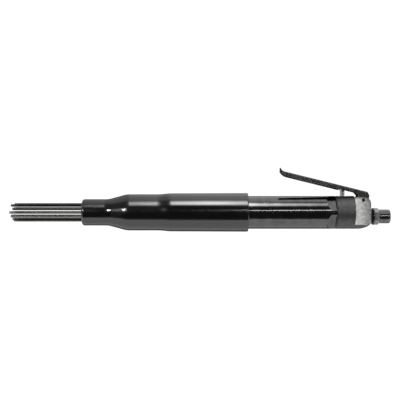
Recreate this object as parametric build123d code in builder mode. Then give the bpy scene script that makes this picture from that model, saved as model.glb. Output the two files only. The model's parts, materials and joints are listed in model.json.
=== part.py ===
from build123d import *
import os
from math import cos, pi, radians, sin, sqrt, tan

# Hand-held pneumatic needle scaler, in millimetres.
# X runs along the tool from the needles (-X) to the air inlet (+X), Z points to the throttle
# lever, and the origin is on the tool's axis in the middle of the bare grip of the barrel.

# ---------------------------------------------------------------- fits
running_clearance = 0.05    # radial, on every sliding or turning fit
seat_clearance = 0.05       # radial, on pieces that are screwed or pressed together
stop_gap = 0.3              # between a moving piece and its stop
seal_gap = 0.05             # between a seal and what it seals on
wall_web = 0.35             # least metal between neighbouring needle heads
overcut = 1.0               # a cutting tool starts this far outside the metal

# ---------------------------------------------------------------- broken edges
fine_edge = 0.25
plain_edge = 0.4
heavy_edge = 0.8
lead_in = 1.2

# ---------------------------------------------------------------- needles and their holder
needle_d = 3.0
needle_length = 180.0
needle_head_rim = 0.65      # how far a head stands out round its needle
needle_head_t = 3.0
needle_head_round = 0.8
needle_point_bevel = 0.5
needle_reach = 83.5         # the needles stand this far out of the front tube
# how far each tip has worn back: the centre needle, the inner ring, then the outer ring
needle_wear = (
    1.2,
    2.6, 0.9, 3.4, 1.7, 0.4, 2.2,
    1.1, 3.9, 0.6, 4.1, 0.8, 4.9, 0.0, 1.4, 4.8, 3.6, 0.7, 2.9,
)
needle_float = 2.7          # how far each needle slides back in its hole
needle_hole_clearance = 0.1

holder_floor_t = 6.0        # the plate that the needles pass through
holder_rim_t = 4.5          # the rim round their heads
holder_dish_clearance = 0.75
holder_vent_count = 6
holder_vent_r = 1.3

# ---------------------------------------------------------------- front tube
tube_rear_x = -45.8
tube_length = 193.5
tube_mouth_rim = 3.9         # from the hole in the mouth out to the nose's surface
tube_nose_length = 30.8     # to the corner of the cone
tube_cone_length = 20.9     # corner to corner
tube_cone_round = 29.6
tube_step_back = 105.1      # from the rear edge to the gentle step up to the widest part
tube_step_length = 16.3
tube_step_height = 1.1
tube_rear_flare = 0.35      # the widest part still swells this much to its rear edge
tube_over_barrel = 3.4      # the widest part stands this far proud of the barrel
tube_wall = 2.1
tube_lip_t = 4.0
tube_lip_round = 3.0
tube_rear_round = 1.2
mouth_clearance = 0.7       # round the bundle of needles
spring_seat_depth = 50.7    # from the mouth
spring_seat_r = 15.5
needle_spring_wire = 2.6
needle_spring_turns = 5.0
needle_spring_clearance = 0.8

# ---------------------------------------------------------------- hammer
piston_d = 22.0
piston_length = 56.0
piston_stroke = 39.7
piston_groove_depth = 0.8
piston_groove_width = 1.2
piston_groove_shares = (0.2, 0.35, 0.65, 0.8)   # of its length
anvil_head_d = 26.0
anvil_head_t = 5.0
anvil_shank_d = 16.0
anvil_shank_length = 61.0
anvil_travel = 2.7
cushion_t = 3.0
bushing_flange_t = 3.0
bushing_length = 46.7
skirt_slot_width = 4.0

# ---------------------------------------------------------------- barrel
barrel_r = 19.2
collar_inset = 4.2          # the collar ends this far inside the front tube
collar_length = 26.0
collar_seal_inset = 4.0
collar_seal_width = 1.5
collar_seal_depth = 1.25
flat_depth = 3.95           # of the spanner flats, below the barrel's surface
flat_length = 11.4
flat_cutter_r = 16.3
flat_count = 4
port_inset = 12.0           # exhaust ports, from the collar's rear end
port_r = 1.75
port_count = 6
flute_width = 5.0
return_port_setback = 3.5
return_passage_r = 1.3
return_passage_overlap = 0.9   # it breaks into the valve's bore this far
valve_wall = 2.6            # step from the piston's bore out to the valve's
valve_bore_depth = 28.8
piston_rear_gap = 2.0

# ---------------------------------------------------------------- distributing valve
valve_seat_t = 7.0
valve_chamber_depth = 3.0
valve_chamber_r = 9.0
valve_disc_t = 1.6
valve_disc_clearance = 0.4
valve_hole_r = 3.0
valve_port_r = 1.3
valve_port_circle = 6.3
valve_port_count = 6
dowel_r = 0.8
dowel_front_depth = 4.0

# ---------------------------------------------------------------- throttle housing
gasket_t = 1.4
gasket_inset = 0.25
housing_length = 39.0
housing_round_length = 20.1
housing_half_width = 12.9   # of the cast rear, at its front
housing_draw_in = 2.1       # how far each side has drawn in at the rear face
housing_taper_start = 5.0
housing_belly_end = 5.6     # the straight underside ends this far ahead of the pivot
housing_chin_wall = 1.25     # below the inlet's thread
spigot_length = 10.2
spigot_recess_r = 8.0
spigot_recess_depth = 2.5

# ---------------------------------------------------------------- throttle valve
stem_setback = 7.05          # from the front face of the housing
stem_d = 5.4
stem_neck_r = 1.5
stem_dome_r = 5.0
stem_spot_depth = 0.5
stem_spot_rim = 2.2
outlet_chamber_r = 4.6
outlet_chamber_floor_z = 1.5
outlet_chamber_top_z = 7.0
outlet_passage_r = 2.6
seat_hole_r = 3.0
inlet_chamber_r = 5.0
throttle_valve_clearance = 0.5
throttle_valve_t = 2.6
valve_tail_r = 2.2
valve_tail_length = 2.5
plug_thread_depth = 0.4
plug_length = 5.5
plug_inset = 0.1
plug_seal_depth = 1.3
plug_seal_inset = 1.8
plug_slot_width = 1.5
plug_slot_depth = 1.3
stem_seal_drop = 6.0        # below the top of the housing
stem_seal_wire_r = 0.8
valve_spring_wire = 0.8
valve_spring_turns = 4.0
valve_spring_mean_r = 3.4

# ---------------------------------------------------------------- lever
pivot_setback = 9.3         # from the rear face of the housing
pivot_depth = 4.9           # below the top of the barrel
pin_r = 2.0
pin_bore_r = 1.15
pin_slit_width = 0.9
pin_inset = 0.5
ear_height = 3.3            # above the pivot
ear_round_start = 1.7       # behind the pivot
ear_round_drop = 3.8        # the rounded corner ends this far below the pivot
lever_width = 16.0
lever_side_clearance = 0.25
lever_sheet_t = 1.6
lever_slope = 13.9          # degrees, released
lever_heel_reach = 5.6      # the web ends this far behind the pivot
lever_heel_height = 9.7     # and this far above it
lever_heel_drop = 4.1
lever_reach = 90.3          # from the pivot forward to where the web curls up
lever_curl_reach = 4.9
lever_curl_rise = 4.4
lever_tip_depth = 3.0
lever_flange_depth = 5.8
lever_neck_depth = 4.3      # behind the stem, where the flanges are shallower
lever_flange_start = 3.2
lever_bead_r = 1.0          # rolled edge of the flanges, along the grip
lever_bead_inset = 0.9      # its centre, from the flange's lower edge
lever_bead_stand = 0.5      # how far it stands out sideways
lever_bead_share = 0.86     # of the curl under the tip that it follows
lever_notch_ahead = 4.5     # of the stem
lever_notch_length = 1.1
lever_neck_end = 8.3        # ahead of the pivot
lever_lobe_r = 7.3
lever_back_lean = 0.4
lever_lobe_clearance = 1.4
stem_lever_gap = 0.45

# ---------------------------------------------------------------- air inlet
inlet_z = -4.75
inlet_thread_r = 6.4
inlet_thread_length = 12.0
inlet_neck_r = 5.5
inlet_neck_length = 3.0
inlet_collar_t = 1.8
inlet_hex_width = 17.0
inlet_hex_t = 5.8
inlet_hex_trail = 1.2
inlet_barrel_r = 8.1
inlet_barrel_length = 13.0
inlet_female_r = 5.72       # minor radius of a quarter-inch pipe thread
inlet_female_depth = 14.0
inlet_bore_r = 4.2
inlet_edge_round = 2.0
inlet_seal_wire_r = 1.05
screen_wall = 0.5
screen_length = 9.0
screen_hole_r = 0.55

# ---------------------------------------------------------------- worked out from the above
tube_mouth_x = tube_rear_x - tube_length
needle_tip_x = tube_mouth_x - needle_reach
needle_seat_x = needle_tip_x + needle_length - needle_head_t
needle_head_r = needle_d / 2 + needle_head_rim
needle_ring_step = 2 * needle_head_r + wall_web
bundle_r = 2 * needle_ring_step + needle_d / 2
holder_front_x = needle_seat_x - holder_floor_t
holder_rear_x = needle_seat_x + holder_rim_t
holder_dish_r = 2 * needle_ring_step + needle_head_r + holder_dish_clearance

tube_r = barrel_r + tube_over_barrel
tube_waist_r = tube_r - tube_rear_flare - tube_step_height
tube_rear_bore_r = tube_r - tube_wall
tube_bore_r = tube_waist_r - tube_wall + running_clearance
tube_cone_x = tube_mouth_x + tube_nose_length
tube_waist_x = tube_cone_x + tube_cone_length
tube_step_x = tube_rear_x - tube_step_back
spring_seat_x = tube_mouth_x + spring_seat_depth
mouth_hole_r = bundle_r + mouth_clearance
tube_nose_r = mouth_hole_r + tube_mouth_rim
tube_nose_bore_r = tube_nose_r - tube_wall
holder_r = tube_bore_r - running_clearance

anvil_face_x = needle_seat_x + needle_head_t + needle_float + anvil_travel + 2 * stop_gap
anvil_head_rear_x = anvil_face_x + anvil_head_t
anvil_end_x = anvil_head_rear_x + anvil_shank_length
cushion_front_x = anvil_head_rear_x + stop_gap
flange_front_x = cushion_front_x + cushion_t
barrel_front_x = flange_front_x + bushing_flange_t
bushing_rear_x = barrel_front_x + bushing_length
bushing_r = barrel_r - 2 * running_clearance
piston_rear_x = anvil_end_x + stop_gap + piston_stroke + piston_length

collar_r = tube_rear_bore_r - seat_clearance
collar_rear_x = tube_rear_x - collar_inset
collar_front_x = collar_rear_x - collar_length
collar_seal_x = collar_rear_x - collar_seal_inset
seal_groove_r = collar_r - collar_seal_depth
port_x = collar_rear_x - port_inset
flute_end_x = port_x + port_r + overcut
return_port_x = anvil_end_x + return_port_setback
valve_bore_r = piston_d / 2 + valve_wall
return_passage_height = valve_bore_r + return_passage_r - return_passage_overlap
valve_bore_x = piston_rear_x + piston_rear_gap
valve_cover_x = valve_bore_x + valve_seat_t
dowel_height = piston_d / 2 + valve_wall / 2
barrel_rear_x = valve_bore_x + valve_bore_depth
flat_start_x = barrel_rear_x - flat_length
flat_height = barrel_r - flat_depth

housing_front_x = barrel_rear_x + gasket_t
housing_step_x = housing_front_x + housing_round_length
housing_taper_x = housing_step_x + housing_taper_start
housing_rear_x = housing_front_x + housing_length
housing_rear_half_width = housing_half_width - housing_draw_in
spigot_front_x = housing_front_x - spigot_length
stem_x = housing_front_x + stem_setback
stem_spot_z = barrel_r - stem_spot_depth
stem_seal_z = barrel_r - stem_seal_drop
stem_seal_groove_r = stem_d / 2 + 2 * stem_seal_wire_r + 2 * seal_gap
throttle_valve_r = inlet_chamber_r - throttle_valve_clearance
plug_r = inlet_chamber_r + plug_thread_depth
plug_bottom_z = plug_inset - barrel_r
plug_top_z = plug_bottom_z + plug_length
plug_seal_z = plug_top_z - plug_seal_inset
plug_seal_groove_r = plug_r - plug_seal_depth

pivot_x = housing_rear_x - pivot_setback
pivot_z = barrel_r - pivot_depth
ear_top_z = pivot_z + ear_height
housing_belly_x = pivot_x - housing_belly_end
housing_chin_z = inlet_z - inlet_thread_r - housing_chin_wall
slope = radians(lever_slope)
web_rise = tan(slope)
lever_heel_x = pivot_x + lever_heel_reach
lever_heel_z = pivot_z + lever_heel_height
lever_bend_x = pivot_x - lever_reach
lever_notch_x = stem_x - lever_notch_ahead
lever_slot_front_x = pivot_x - lever_lobe_r - lever_lobe_clearance
lever_slot_floor_z = pivot_z - lever_lobe_r - lever_lobe_clearance
lever_slot_half_width = lever_width / 2 + lever_side_clearance

collar_x = housing_rear_x + inlet_neck_length
hex_x = collar_x + inlet_collar_t
inlet_barrel_x = hex_x + inlet_hex_t
inlet_end_x = inlet_barrel_x + inlet_barrel_length
inlet_corner_r = inlet_hex_width / sqrt(3)

os.makedirs("parts", exist_ok=True)


def section(x):
    """Plane square to the tool's axis at x: its own x runs along Y, and its y along Z."""
    return Plane.YZ.offset(x)


def inlet_section(x):
    """The same, centred on the air inlet."""
    return Plane(origin=(x, 0, inlet_z), x_dir=(0, 1, 0), z_dir=(1, 0, 0))


def radial_plane(angle):
    """Plane through the tool's axis: its own x runs along X, and its y outwards at angle from +Y."""
    return Plane(origin=(0, 0, 0), x_dir=(1, 0, 0), z_dir=(0, -sin(angle), cos(angle)))


def flat_plane(angle):
    """Plane of the spanner flat that faces angle from +Y: its own x runs along X."""
    facing = (0, cos(angle), sin(angle))
    return Plane(
        origin=(0, flat_height * cos(angle), flat_height * sin(angle)),
        x_dir=(1, 0, 0),
        z_dir=facing,
    )


def web_z(x):
    """Height of the top of the lever's web at x, with the lever released."""
    return lever_heel_z + (lever_heel_x - x) * web_rise


def ease(start, end):
    """Two equal tangent arcs that leave start and reach end parallel to the axis."""
    middle = ((start[0] + end[0]) / 2, (start[1] + end[1]) / 2)
    first = TangentArc(start, middle, tangent=(1, 0))
    TangentArc(middle, end, tangent=first % 1)


# ---------------------------------------------------------------- needles
needle_places = [(0, 0)]
needle_places += [
    (ring * needle_ring_step * cos(turn), ring * needle_ring_step * sin(turn))
    for ring in (1, 2)
    for turn in (step * pi / (3 * ring) for step in range(6 * ring))
]

for number, ((y, z), wear) in enumerate(zip(needle_places, needle_wear), 1):
    with BuildPart() as needle:
        with BuildSketch(section(needle_seat_x)):
            with Locations((y, z)):
                Circle(needle_head_r)
        extrude(amount=needle_head_t)
        fillet(needle.edges().filter_by(GeomType.CIRCLE).group_by(Axis.X)[-1], needle_head_round)
        with BuildSketch(section(needle_seat_x)):
            with Locations((y, z)):
                Circle(needle_d / 2)
        extrude(amount=-(needle_length - needle_head_t - wear))
        chamfer(needle.edges().filter_by(GeomType.CIRCLE).group_by(Axis.X)[0], needle_point_bevel)
    needle.part.label = f"needle_{number:02d}"
    export_step(needle.part, f"parts/needle_{number:02d}.step")

# ---------------------------------------------------------------- needle holder
with BuildPart() as needle_holder:
    with BuildSketch(section(holder_front_x)):
        Circle(holder_r)
        with Locations(*needle_places):
            Circle(needle_d / 2 + needle_hole_clearance, mode=Mode.SUBTRACT)
        with PolarLocations((holder_dish_r + holder_r) / 2, holder_vent_count, 30):
            Circle(holder_vent_r, mode=Mode.SUBTRACT)
    extrude(amount=holder_floor_t)
    with BuildSketch(section(needle_seat_x)):
        Circle(holder_r)
        Circle(holder_dish_r, mode=Mode.SUBTRACT)
        with PolarLocations((holder_dish_r + holder_r) / 2, holder_vent_count, 30):
            Circle(holder_vent_r, mode=Mode.SUBTRACT)
    extrude(amount=holder_rim_t)
    rim = needle_holder.edges().filter_by(GeomType.CIRCLE).sort_by(SortBy.RADIUS)[-2:]
    chamfer(rim, plain_edge)
needle_holder.part.label = "needle_holder"
export_step(needle_holder.part, "parts/needle_holder.step")

# ---------------------------------------------------------------- needle return spring
spring_mean_r = tube_bore_r - needle_spring_clearance - needle_spring_wire / 2
spring_free_length = holder_front_x - spring_seat_x
spring_pitch = (spring_free_length - needle_spring_wire - 2 * seal_gap) / needle_spring_turns
with BuildPart() as needle_spring:
    with BuildLine():
        coil = Helix(
            pitch=spring_pitch,
            height=spring_pitch * needle_spring_turns,
            radius=spring_mean_r,
            center=(spring_seat_x + needle_spring_wire / 2 + seal_gap, 0, 0),
            direction=(1, 0, 0),
        )
    with BuildSketch(Plane(origin=coil @ 0, z_dir=coil % 0)):
        Circle(needle_spring_wire / 2)
    sweep(is_frenet=True)
needle_spring.part.label = "needle_spring"
export_step(needle_spring.part, "parts/needle_spring.step")

# ---------------------------------------------------------------- front tube
with BuildPart() as front_tube:
    with BuildSketch(Plane.XZ):
        with BuildLine():
            lip_start = (tube_mouth_x, tube_nose_r - tube_lip_round)
            lip_end = (tube_mouth_x + tube_lip_round, tube_nose_r)
            TangentArc(lip_start, lip_end, tangent=(0, 1))
            FilletPolyline(
                lip_end,
                (tube_cone_x, tube_nose_r),
                (tube_waist_x, tube_waist_r),
                (tube_step_x, tube_waist_r),
                radius=tube_cone_round,
            )
            step_end = (tube_step_x + tube_step_length, tube_r - tube_rear_flare)
            ease((tube_step_x, tube_waist_r), step_end)
            Polyline(
                step_end,
                (tube_rear_x, tube_r),
                (tube_rear_x, tube_rear_bore_r),
                (holder_rear_x + tube_wall, tube_rear_bore_r),
                (holder_rear_x - stop_gap, tube_bore_r),
                (spring_seat_x, tube_bore_r),
                (spring_seat_x, spring_seat_r),
                (tube_cone_x, tube_nose_bore_r),
                (tube_mouth_x + tube_lip_t + tube_nose_bore_r - mouth_hole_r, tube_nose_bore_r),
                (tube_mouth_x + tube_lip_t, mouth_hole_r),
                (tube_mouth_x, mouth_hole_r),
                lip_start,
            )
        make_face()
    revolve(axis=Axis.X)
    rear_edges = front_tube.edges().filter_by(GeomType.CIRCLE).group_by(Axis.X)[-1]
    fillet(rear_edges.sort_by(SortBy.RADIUS)[-1], tube_rear_round)
    chamfer(rear_edges.sort_by(SortBy.RADIUS)[0], plain_edge)
front_tube.part.label = "front_tube"
export_step(front_tube.part, "parts/front_tube.step")

# ---------------------------------------------------------------- anvil, its cushion and bushing
with BuildPart() as anvil:
    with BuildSketch(section(anvil_face_x)):
        Circle(anvil_head_d / 2)
    extrude(amount=anvil_head_t)
    chamfer(anvil.edges().filter_by(GeomType.CIRCLE), heavy_edge)
    with BuildSketch(section(anvil_head_rear_x)):
        Circle(anvil_shank_d / 2)
    extrude(amount=anvil_end_x - anvil_head_rear_x)
    chamfer(anvil.edges().filter_by(GeomType.CIRCLE).group_by(Axis.X)[-1], lead_in)
anvil.part.label = "anvil"
export_step(anvil.part, "parts/anvil.step")

with BuildPart() as anvil_cushion:
    with BuildSketch(section(cushion_front_x)):
        Circle(anvil_head_d / 2 - stop_gap)
        Circle(anvil_shank_d / 2 + stop_gap, mode=Mode.SUBTRACT)
    extrude(amount=cushion_t)
anvil_cushion.part.label = "anvil_cushion"
export_step(anvil_cushion.part, "parts/anvil_cushion.step")

with BuildPart() as anvil_bushing:
    with BuildSketch(section(bushing_rear_x)):
        Circle(piston_d / 2 - seat_clearance)
    extrude(amount=barrel_front_x - bushing_rear_x)
    chamfer(anvil_bushing.edges().filter_by(GeomType.CIRCLE).group_by(Axis.X)[-1], heavy_edge)
    with BuildSketch(section(barrel_front_x)):
        Circle(bushing_r)
    extrude(amount=-bushing_flange_t)
    with BuildSketch(section(flange_front_x)):
        Circle(bushing_r)
        Circle(anvil_head_d / 2 + stop_gap, mode=Mode.SUBTRACT)
        with PolarLocations(barrel_r, holder_vent_count, 30):
            Rectangle(2 * (barrel_r - anvil_head_d / 2), skirt_slot_width, mode=Mode.SUBTRACT)
    extrude(amount=holder_rear_x + stop_gap - flange_front_x)
    with BuildSketch(section(bushing_rear_x)):
        Circle(anvil_shank_d / 2 + running_clearance)
    extrude(amount=flange_front_x - bushing_rear_x, mode=Mode.SUBTRACT)
anvil_bushing.part.label = "anvil_bushing"
export_step(anvil_bushing.part, "parts/anvil_bushing.step")

# ---------------------------------------------------------------- piston
with BuildPart() as piston:
    with BuildSketch(section(piston_rear_x)):
        Circle(piston_d / 2 - running_clearance)
    extrude(amount=-piston_length)
    chamfer(piston.edges().filter_by(GeomType.CIRCLE), lead_in)
    for share in piston_groove_shares:
        with BuildSketch(section(piston_rear_x - share * piston_length)):
            Circle(piston_d / 2)
            Circle(piston_d / 2 - piston_groove_depth, mode=Mode.SUBTRACT)
        extrude(amount=piston_groove_width / 2, both=True, mode=Mode.SUBTRACT)
piston.part.label = "piston"
export_step(piston.part, "parts/piston.step")

# ---------------------------------------------------------------- barrel
with BuildPart() as barrel:
    with BuildSketch(section(barrel_front_x)):
        Circle(barrel_r)
    extrude(amount=barrel_rear_x - barrel_front_x)
    chamfer(barrel.edges().filter_by(GeomType.CIRCLE), plain_edge)
    with BuildSketch(section(collar_front_x)):
        Circle(collar_r)
        with PolarLocations(collar_r, port_count, 90):
            Rectangle(2 * (collar_r - barrel_r), flute_width, mode=Mode.SUBTRACT)
    extrude(amount=flute_end_x - collar_front_x)
    with BuildSketch(section(flute_end_x)):
        Circle(collar_r)
    extrude(amount=collar_rear_x - flute_end_x)
    with BuildSketch(section(collar_seal_x)):
        Circle(collar_r + overcut)
        Circle(seal_groove_r, mode=Mode.SUBTRACT)
    extrude(amount=collar_seal_width / 2, both=True, mode=Mode.SUBTRACT)
    # spanner flats, each run in from the rear with an end mill
    for step in range(flat_count):
        with BuildSketch(flat_plane(2 * pi * (step + 0.5) / flat_count)):
            with Locations((flat_start_x + flat_cutter_r, 0)):
                Circle(flat_cutter_r)
        extrude(amount=barrel_r, mode=Mode.SUBTRACT)
    with BuildSketch(section(barrel_front_x)):
        Circle(piston_d / 2)
    extrude(amount=barrel_rear_x - barrel_front_x, mode=Mode.SUBTRACT)
    with BuildSketch(section(barrel_rear_x)):
        Circle(valve_bore_r)
    extrude(amount=valve_bore_x - barrel_rear_x, mode=Mode.SUBTRACT)
    with BuildSketch(section(valve_bore_x)):
        with Locations((0, dowel_height)):
            Circle(dowel_r + seat_clearance)
    extrude(amount=-dowel_front_depth - stop_gap, mode=Mode.SUBTRACT)
    for step in range(port_count // 2):
        with BuildSketch(radial_plane(2 * pi * step / port_count)):
            with Locations((port_x, 0)):
                Circle(port_r)
        extrude(amount=collar_r + overcut, both=True, mode=Mode.SUBTRACT)
    with BuildSketch(section(valve_bore_x + valve_seat_t)):
        with Locations((0, -return_passage_height)):
            Circle(return_passage_r)
    extrude(amount=return_port_x - valve_bore_x - valve_seat_t, mode=Mode.SUBTRACT)
    with BuildSketch(Plane.XY):
        with Locations((return_port_x, 0)):
            Circle(return_passage_r)
    extrude(amount=-return_passage_height, mode=Mode.SUBTRACT)
barrel.part.label = "barrel"
export_step(barrel.part, "parts/barrel.step")

with BuildPart() as tube_seal:
    with BuildSketch(Plane.XZ):
        with Locations((collar_seal_x, (seal_groove_r + collar_r) / 2)):
            Circle((collar_r - seal_groove_r) / 2 - seal_gap)
    revolve(axis=Axis.X)
tube_seal.part.label = "tube_seal_ring"
export_step(tube_seal.part, "parts/tube_seal_ring.step")

# ---------------------------------------------------------------- distributing valve
with BuildPart() as valve_seat:
    with BuildSketch(section(valve_bore_x)):
        Circle(valve_bore_r - seat_clearance)
        Circle(valve_hole_r, mode=Mode.SUBTRACT)
        with PolarLocations(valve_port_circle, valve_port_count):
            Circle(valve_port_r, mode=Mode.SUBTRACT)
        with Locations((0, dowel_height)):
            Circle(dowel_r + seat_clearance, mode=Mode.SUBTRACT)
        with Locations((0, -return_passage_height)):
            Circle(return_passage_r + overcut, mode=Mode.SUBTRACT)
    extrude(amount=valve_seat_t)
    with BuildSketch(section(valve_cover_x)):
        Circle(valve_chamber_r)
    extrude(amount=-valve_chamber_depth, mode=Mode.SUBTRACT)
valve_seat.part.label = "valve_seat"
export_step(valve_seat.part, "parts/valve_seat.step")

with BuildPart() as valve_disc:
    with BuildSketch(section(valve_cover_x - valve_chamber_depth + stop_gap)):
        Circle(valve_chamber_r - valve_disc_clearance)
    extrude(amount=valve_disc_t)
    chamfer(valve_disc.edges().filter_by(GeomType.CIRCLE), fine_edge)
valve_disc.part.label = "valve_disc"
export_step(valve_disc.part, "parts/valve_disc.step")

with BuildPart() as valve_cover:
    with BuildSketch(section(valve_cover_x)):
        Circle(valve_bore_r - seat_clearance)
        Circle(valve_hole_r, mode=Mode.SUBTRACT)
        with PolarLocations(valve_port_circle, valve_port_count, 30):
            Circle(valve_port_r, mode=Mode.SUBTRACT)
        with Locations((0, dowel_height)):
            Circle(dowel_r + seat_clearance, mode=Mode.SUBTRACT)
    extrude(amount=spigot_front_x - valve_cover_x)
valve_cover.part.label = "valve_cover"
export_step(valve_cover.part, "parts/valve_cover.step")

with BuildPart() as valve_dowel:
    with BuildSketch(section(valve_bore_x - dowel_front_depth)):
        with Locations((0, dowel_height)):
            Circle(dowel_r)
    extrude(amount=spigot_front_x - valve_bore_x + dowel_front_depth - stop_gap)
    chamfer(valve_dowel.edges().filter_by(GeomType.CIRCLE), fine_edge)
valve_dowel.part.label = "valve_dowel"
export_step(valve_dowel.part, "parts/valve_dowel.step")

with BuildPart() as housing_gasket:
    with BuildSketch(section(barrel_rear_x)):
        Circle(barrel_r - gasket_inset)
        Circle(valve_bore_r, mode=Mode.SUBTRACT)
    extrude(amount=gasket_t)
housing_gasket.part.label = "housing_gasket"
export_step(housing_gasket.part, "parts/housing_gasket.step")

# ---------------------------------------------------------------- throttle housing
with BuildPart() as throttle_housing:
    with BuildSketch(section(housing_front_x)):
        Circle(barrel_r)
    extrude(amount=housing_length)
    with BuildSketch(section(housing_step_x)):
        Rectangle(2 * housing_half_width, ear_top_z, align=(Align.CENTER, Align.MIN))
    extrude(amount=housing_rear_x - housing_step_x)
    # side outline: round front, then the ears, the sloping back and the cut-away underside
    with BuildSketch(Plane.XZ):
        with BuildLine():
            Polyline(
                (housing_belly_x, -barrel_r),
                (housing_belly_x, -barrel_r - overcut),
                (housing_front_x, -barrel_r - overcut),
                (housing_front_x, barrel_r + overcut),
                (housing_step_x, barrel_r + overcut),
                (housing_step_x, ear_top_z),
                (pivot_x + ear_round_start, ear_top_z),
            )
            TangentArc(
                (pivot_x + ear_round_start, ear_top_z),
                (housing_rear_x, pivot_z - ear_round_drop),
                tangent=(1, 0),
            )
            Line((housing_rear_x, pivot_z - ear_round_drop), (housing_rear_x, housing_chin_z))
            TangentArc(
                (housing_belly_x, -barrel_r), (housing_rear_x, housing_chin_z), tangent=(1, 0)
            )
        make_face()
    extrude(amount=barrel_r + overcut, both=True, mode=Mode.INTERSECT)
    # plan outline: the cast rear is flat-sided and draws in towards the inlet
    with BuildSketch(Plane.XY):
        with BuildLine():
            side = Polyline(
                (housing_taper_x, housing_half_width),
                (housing_step_x, housing_half_width),
                (housing_step_x, barrel_r + overcut),
                (housing_front_x, barrel_r + overcut),
                (housing_front_x, 0),
            )
            rear = TangentArc(
                (housing_taper_x, housing_half_width),
                (housing_rear_x, housing_rear_half_width),
                tangent=(1, 0),
            )
            Line(rear @ 1, (housing_rear_x, 0))
            Line((housing_rear_x, 0), (housing_front_x, 0))
        make_face()
        mirror(about=Plane.XZ)
    extrude(amount=barrel_r + overcut, both=True, mode=Mode.INTERSECT)
    # spigot into the barrel, with its recess
    with BuildSketch(section(housing_front_x)):
        Circle(valve_bore_r - seat_clearance)
    extrude(amount=-spigot_length)
    with BuildSketch(section(spigot_front_x)):
        Circle(spigot_recess_r)
    extrude(amount=spigot_recess_depth, mode=Mode.SUBTRACT)
    # slot between the ears
    with BuildSketch(Plane.XY.offset(lever_slot_floor_z)):
        with Locations((lever_slot_front_x, 0)):
            Rectangle(
                housing_rear_x - lever_slot_front_x + overcut,
                2 * lever_slot_half_width,
                align=(Align.MIN, Align.CENTER),
            )
    extrude(amount=barrel_r, mode=Mode.SUBTRACT)
    # upright throttle bore, from the top down: spot face, stem, seal, outlet, seat, inlet, plug
    for radius, top, bottom in (
        (stem_d / 2 + stem_spot_rim, barrel_r + overcut, stem_spot_z),
        (stem_d / 2 + running_clearance, stem_spot_z, outlet_chamber_floor_z),
        (stem_seal_groove_r, stem_seal_z + stem_seal_wire_r, stem_seal_z - stem_seal_wire_r),
        (outlet_chamber_r, outlet_chamber_top_z, outlet_chamber_floor_z),
        (seat_hole_r, outlet_chamber_floor_z, 0),
        (inlet_chamber_r, 0, plug_top_z),
        (plug_r, plug_top_z, -barrel_r - overcut),
    ):
        with BuildSketch(Plane.XY.offset(top)):
            with Locations((stem_x, 0)):
                Circle(radius)
        extrude(amount=bottom - top, mode=Mode.SUBTRACT)
    # air in from the rear, and out to the barrel
    with BuildSketch(Plane.YZ.offset(stem_x)):
        with Locations((0, inlet_z)):
            Circle(inlet_bore_r)
    extrude(amount=housing_rear_x - stem_x, mode=Mode.SUBTRACT)
    with BuildSketch(inlet_section(housing_rear_x)):
        Circle(inlet_thread_r + seat_clearance)
    extrude(amount=-inlet_thread_length - overcut, mode=Mode.SUBTRACT)
    with BuildSketch(Plane.YZ.offset(stem_x)):
        with Locations((0, (outlet_chamber_floor_z + outlet_chamber_top_z) / 2)):
            Circle(outlet_passage_r)
    extrude(amount=spigot_front_x - stem_x, mode=Mode.SUBTRACT)
    # pivot hole through both ears
    with BuildSketch(Plane.XZ):
        with Locations((pivot_x, pivot_z)):
            Circle(pin_r + seat_clearance)
    extrude(amount=housing_half_width + overcut, both=True, mode=Mode.SUBTRACT)
throttle_housing.part.label = "throttle_housing"
export_step(throttle_housing.part, "parts/throttle_housing.step")

# ---------------------------------------------------------------- throttle stem and valve
stem_plane = Plane(origin=(stem_x, 0, 0), x_dir=(1, 0, 0), z_dir=(0, -1, 0))
stem_axis = Axis((stem_x, 0, 0), (0, 0, 1))
stem_top_z = web_z(stem_x) - lever_sheet_t / cos(slope) - stem_lever_gap
stem_shoulder_z = stem_top_z - stem_dome_r + sqrt(stem_dome_r**2 - (stem_d / 2) ** 2)

with BuildPart() as throttle_stem:
    with BuildSketch(stem_plane):
        with BuildLine():
            TangentArc((0, stem_top_z), (stem_d / 2, stem_shoulder_z), tangent=(1, 0))
            Polyline(
                (stem_d / 2, stem_shoulder_z),
                (stem_d / 2, outlet_chamber_top_z),
                (stem_neck_r, outlet_chamber_top_z - stem_d / 2 + stem_neck_r),
                (stem_neck_r, -seal_gap),
                (0, -seal_gap),
                (0, stem_top_z),
            )
        make_face()
    revolve(axis=stem_axis)
throttle_stem.part.label = "throttle_stem"
export_step(throttle_stem.part, "parts/throttle_stem.step")

with BuildPart() as stem_seal:
    with BuildSketch(stem_plane):
        with Locations((stem_d / 2 + seal_gap + stem_seal_wire_r, stem_seal_z)):
            Circle(stem_seal_wire_r)
    revolve(axis=stem_axis)
stem_seal.part.label = "stem_seal_ring"
export_step(stem_seal.part, "parts/stem_seal_ring.step")

# the disc that closes the seat from below, with the tail that centres its spring
with BuildPart() as throttle_valve:
    with BuildSketch(Plane.XY.offset(-seal_gap)):
        with Locations((stem_x, 0)):
            Circle(throttle_valve_r)
    extrude(amount=-throttle_valve_t)
    chamfer(throttle_valve.edges().filter_by(GeomType.CIRCLE), plain_edge)
    with BuildSketch(Plane.XY.offset(-seal_gap - throttle_valve_t)):
        with Locations((stem_x, 0)):
            Circle(valve_tail_r)
    extrude(amount=-valve_tail_length)
throttle_valve.part.label = "throttle_valve"
export_step(throttle_valve.part, "parts/throttle_valve.step")

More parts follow.
